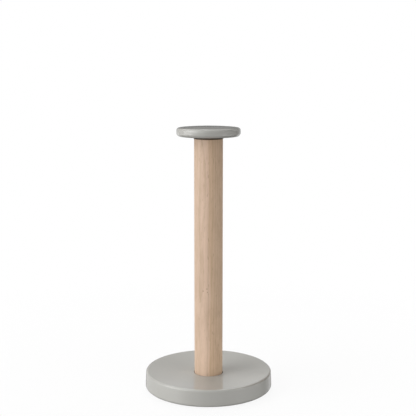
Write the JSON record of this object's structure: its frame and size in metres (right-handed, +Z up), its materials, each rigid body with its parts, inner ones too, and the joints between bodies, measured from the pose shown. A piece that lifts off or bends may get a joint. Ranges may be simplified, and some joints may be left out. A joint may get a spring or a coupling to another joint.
{
  "type": "paper towel holder",
  "caption": "Free-standing kitchen roll holder: dished round glazed base, straight round wooden post, and a flat round cap that unscrews to load a roll.",
  "frame": {"origin": "on the table under the middle of the base", "axes": "+Z up along the post; the foot pads lie on the diagonals of X and Y"},
  "size_m": [0.15, 0.15, 0.3106],
  "materials": {
    "glaze": "gloss",
    "wood": "oiled",
    "steel": "zinc plated",
    "brass": "plain",
    "rubber": "matte"
  },
  "bodies": {
    "holder": {"base": "glaze", "post": "wood", "post_top_insert": "brass", "post_bottom_insert": "brass", "base_bolt": "steel", "base_steel_washer": "steel", "base_rubber_washer": "rubber", "foot_pad_1": "rubber", "foot_pad_2": "rubber", "foot_pad_3": "rubber", "foot_pad_4": "rubber"},
    "washer_ring": {"cap_washer": "rubber"},
    "cap_assembly": {"cap": "glaze", "cap_stud": "steel"}
  },
  "joints": [
    {"name": "cap_lift", "type": "slide", "parent": "holder", "child": "washer_ring", "axis": [0, 0, 1], "range_m": [0, 0.0163]},
    {"name": "cap_turn", "type": "hinge", "parent": "washer_ring", "child": "cap_assembly", "pos_m": [0, 0, 0.298], "axis": [0, 0, 1], "range_deg": [0, 4680]}
  ],
  "couplings": [
    {"joint": "cap_lift", "follows": "cap_turn", "m_per_rad": 0.00019894}
  ]
}
